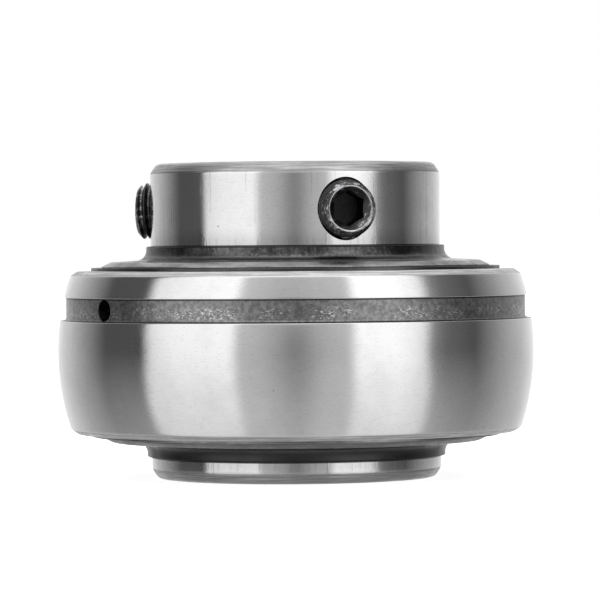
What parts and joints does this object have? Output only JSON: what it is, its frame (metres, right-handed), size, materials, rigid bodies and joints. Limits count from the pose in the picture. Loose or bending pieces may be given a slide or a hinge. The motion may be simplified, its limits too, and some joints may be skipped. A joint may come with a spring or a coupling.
{
  "type": "insert bearing",
  "caption": "Set-screw insert ball bearing: a wide inner ring that clamps on a shaft, and a spherical outer ring that swivels in a housing.",
  "frame": {"origin": "centre of the outer ring's sphere, on the bore's axis", "axes": "+Z along the bore towards the long end with the set screws; the first set screw points along -Y"},
  "size_m": [0.047, 0.047, 0.031],
  "materials": {
    "ground_ring": "ground and polished steel",
    "ball_steel": "mirror-lapped steel",
    "cage_steel": "pressed sheet steel, oiled",
    "dark_shroud": "dark phosphated sheet steel",
    "seal_rubber": "matte nitrile rubber",
    "pressed_steel": "pressed sheet steel",
    "black_oxide": "black oxide with worn edges"
  },
  "bodies": {
    "outer": {"outer_ring": "ground_ring", "seal_shroud_upper": "dark_shroud", "seal_shroud_lower": "dark_shroud", "seal_lip_upper": "seal_rubber", "seal_lip_lower": "seal_rubber"},
    "inner": {"inner_ring": "ground_ring", "flinger_upper": "pressed_steel", "flinger_lower": "pressed_steel"},
    "cage": {"cage_upper": "cage_steel", "cage_lower": "cage_steel", "cage_rivets": "cage_steel"},
    "ball_1": {"ball_1": "ball_steel"},
    "ball_2": {"ball_2": "ball_steel"},
    "ball_3": {"ball_3": "ball_steel"},
    "ball_4": {"ball_4": "ball_steel"},
    "ball_5": {"ball_5": "ball_steel"},
    "ball_6": {"ball_6": "ball_steel"},
    "ball_7": {"ball_7": "ball_steel"},
    "ball_8": {"ball_8": "ball_steel"},
    "set_screw_front": {"set_screw_front": "black_oxide"},
    "set_screw_side": {"set_screw_side": "black_oxide"}
  },
  "joints": [
    {"name": "inner_ring_spin", "type": "hinge", "parent": "outer", "child": "inner", "pos_m": [0, 0, 0], "axis": [0, 0, 1], "continuous": true},
    {"name": "cage_orbit", "type": "hinge", "parent": "outer", "child": "cage", "pos_m": [0, 0, 0], "axis": [0, 0, 1], "continuous": true},
    {"name": "ball_1_spin", "type": "hinge", "parent": "cage", "child": "ball_1", "pos_m": [0.01675, 0, 0], "axis": [0, 0, 1], "continuous": true},
    {"name": "ball_2_spin", "type": "hinge", "parent": "cage", "child": "ball_2", "pos_m": [0.01184, 0.01184, 0], "axis": [0, 0, 1], "continuous": true},
    {"name": "ball_3_spin", "type": "hinge", "parent": "cage", "child": "ball_3", "pos_m": [0, 0.01675, 0], "axis": [0, 0, 1], "continuous": true},
    {"name": "ball_4_spin", "type": "hinge", "parent": "cage", "child": "ball_4", "pos_m": [-0.01184, 0.01184, 0], "axis": [0, 0, 1], "continuous": true},
    {"name": "ball_5_spin", "type": "hinge", "parent": "cage", "child": "ball_5", "pos_m": [-0.01675, 0, 0], "axis": [0, 0, 1], "continuous": true},
    {"name": "ball_6_spin", "type": "hinge", "parent": "cage", "child": "ball_6", "pos_m": [-0.01184, -0.01184, 0], "axis": [0, 0, 1], "continuous": true},
    {"name": "ball_7_spin", "type": "hinge", "parent": "cage", "child": "ball_7", "pos_m": [0, -0.01675, 0], "axis": [0, 0, 1], "continuous": true},
    {"name": "ball_8_spin", "type": "hinge", "parent": "cage", "child": "ball_8", "pos_m": [0.01184, -0.01184, 0], "axis": [0, 0, 1], "continuous": true},
    {"name": "set_screw_front_travel", "type": "slide", "parent": "inner", "child": "set_screw_front", "axis": [0, -1, 0], "range_m": [-0.0015, 0.0025]},
    {"name": "set_screw_side_travel", "type": "slide", "parent": "inner", "child": "set_screw_side", "axis": [-0.866, 0.5, 0], "range_m": [-0.0015, 0.0025]}
  ],
  "couplings": [
    {"joint": "cage_orbit", "follows": "inner_ring_spin", "ratio": 0.38152},
    {"joint": "ball_1_spin", "follows": "inner_ring_spin", "ratio": -1.9916},
    {"joint": "ball_2_spin", "follows": "inner_ring_spin", "ratio": -1.9916},
    {"joint": "ball_3_spin", "follows": "inner_ring_spin", "ratio": -1.9916},
    {"joint": "ball_4_spin", "follows": "inner_ring_spin", "ratio": -1.9916},
    {"joint": "ball_5_spin", "follows": "inner_ring_spin", "ratio": -1.9916},
    {"joint": "ball_6_spin", "follows": "inner_ring_spin", "ratio": -1.9916},
    {"joint": "ball_7_spin", "follows": "inner_ring_spin", "ratio": -1.9916},
    {"joint": "ball_8_spin", "follows": "inner_ring_spin", "ratio": -1.9916}
  ]
}
